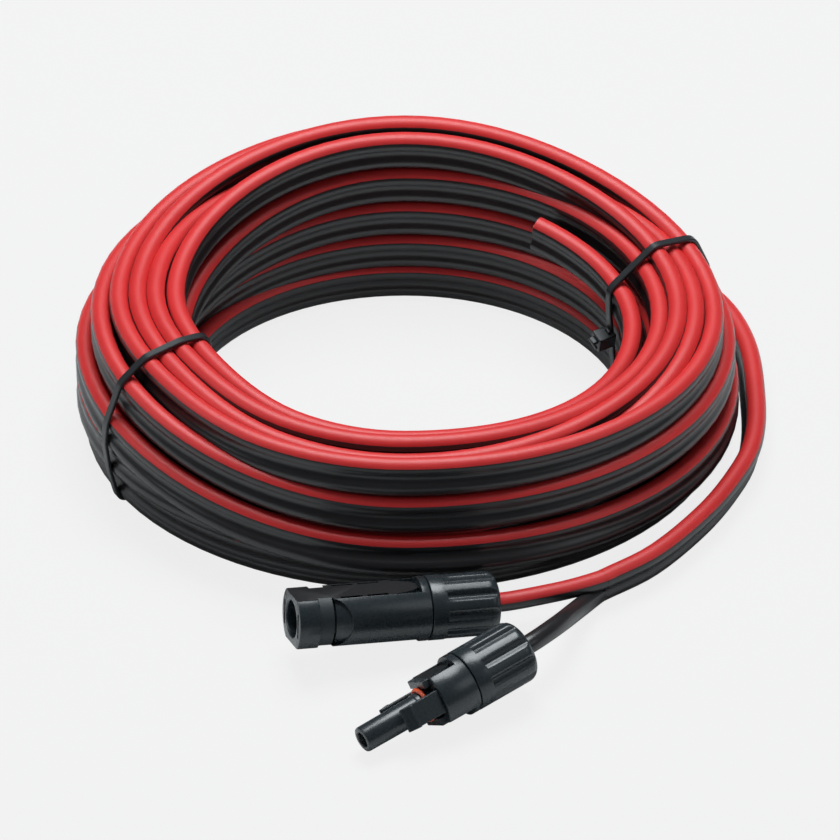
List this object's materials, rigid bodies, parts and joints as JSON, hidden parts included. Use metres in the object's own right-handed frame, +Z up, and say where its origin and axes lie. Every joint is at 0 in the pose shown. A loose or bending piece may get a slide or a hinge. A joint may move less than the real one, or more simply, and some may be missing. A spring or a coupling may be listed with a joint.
{
  "type": "solar cable connector pair on a twin cable lead",
  "caption": "Pair of latching waterproof DC connectors, one shell and one nosed probe, on a tied coil of twin solar cable with a red and a black core.",
  "frame": {"origin": "bottom centre of the box round the two connectors, on the table", "axes": "+Z up, +X across the two connectors towards the cable's side, -Y away from the coil"},
  "size_m": [0.2101, 0.2521, 0.0615],
  "materials": {
    "black_plastic": "fine moulded satin black",
    "grey_plastic": "moulded dark grey",
    "seal_rubber": "matte black rubber",
    "o_ring_rubber": "orange silicone",
    "tinned_copper": "tinned turned copper",
    "spring_steel": "bright spring strip",
    "copper_strands": "bare copper strands",
    "red_jacket": "satin cable jacket, red stripe over black",
    "black_jacket": "satin black cable jacket",
    "tie_nylon": "black nylon"
  },
  "bodies": {
    "cable_set": {"shell_housing": "black_plastic", "shell_gland_seal": "seal_rubber", "shell_contact_pin": "tinned_copper", "shell_contact_clip": "spring_steel", "shell_conductor": "copper_strands", "probe_housing": "black_plastic", "probe_gland_seal": "seal_rubber", "probe_o_ring": "o_ring_rubber", "probe_contact_socket": "tinned_copper", "probe_contact_clip": "spring_steel", "probe_conductor": "copper_strands", "core_red_tail": "red_jacket", "core_black_tail": "black_jacket", "twin_cable_loop": "black_jacket", "twin_cable_coil": "black_jacket", "cable_tie_left": "tie_nylon", "cable_tie_right": "tie_nylon", "cut_end_cable": "black_jacket", "cut_end_copper_red": "copper_strands", "cut_end_copper_black": "copper_strands"},
    "shell_cage": {"shell_clamp_cage": "grey_plastic"},
    "shell_gland_nut": {"shell_nut": "black_plastic"},
    "probe_cage": {"probe_clamp_cage": "grey_plastic"},
    "probe_gland_nut": {"probe_nut": "black_plastic"},
    "latch_near": {"probe_latch_near": "black_plastic"},
    "latch_far": {"probe_latch_far": "black_plastic"}
  },
  "joints": [
    {"name": "shell_cage_slide", "type": "slide", "parent": "cable_set", "child": "shell_cage", "axis": [0.9594, 0.2598, -0.1097], "range_m": [0, 0.0045]},
    {"name": "shell_nut_turn", "type": "hinge", "parent": "shell_cage", "child": "shell_gland_nut", "pos_m": [0.01561, 0.0249, 0.01076], "axis": [0.9594, 0.2598, -0.1097], "range_deg": [0, 1080]},
    {"name": "probe_cage_slide", "type": "slide", "parent": "cable_set", "child": "probe_cage", "axis": [0.8086, 0.5725, 0.1357], "range_m": [0, 0.0045]},
    {"name": "probe_nut_turn", "type": "hinge", "parent": "probe_cage", "child": "probe_gland_nut", "pos_m": [0.02531, -0.0053, 0.01268], "axis": [0.8086, 0.5725, 0.1357], "range_deg": [0, 1080]},
    {"name": "latch_near_flex", "type": "hinge", "parent": "cable_set", "child": "latch_near", "pos_m": [0.01181, -0.02218, 0.01406], "axis": [0.4222, -0.4039, -0.8116], "range_deg": [0, 4], "stiffness_Nm_per_rad": 0.4},
    {"name": "latch_far_flex", "type": "hinge", "parent": "cable_set", "child": "latch_far", "pos_m": [0.00583, -0.01177, 0.00577], "axis": [-0.4222, 0.4039, 0.8116], "range_deg": [0, 4], "stiffness_Nm_per_rad": 0.4}
  ],
  "couplings": [
    {"joint": "shell_cage_slide", "follows": "shell_nut_turn", "m_per_rad": 0.00023873},
    {"joint": "probe_cage_slide", "follows": "probe_nut_turn", "m_per_rad": 0.00023873}
  ]
}
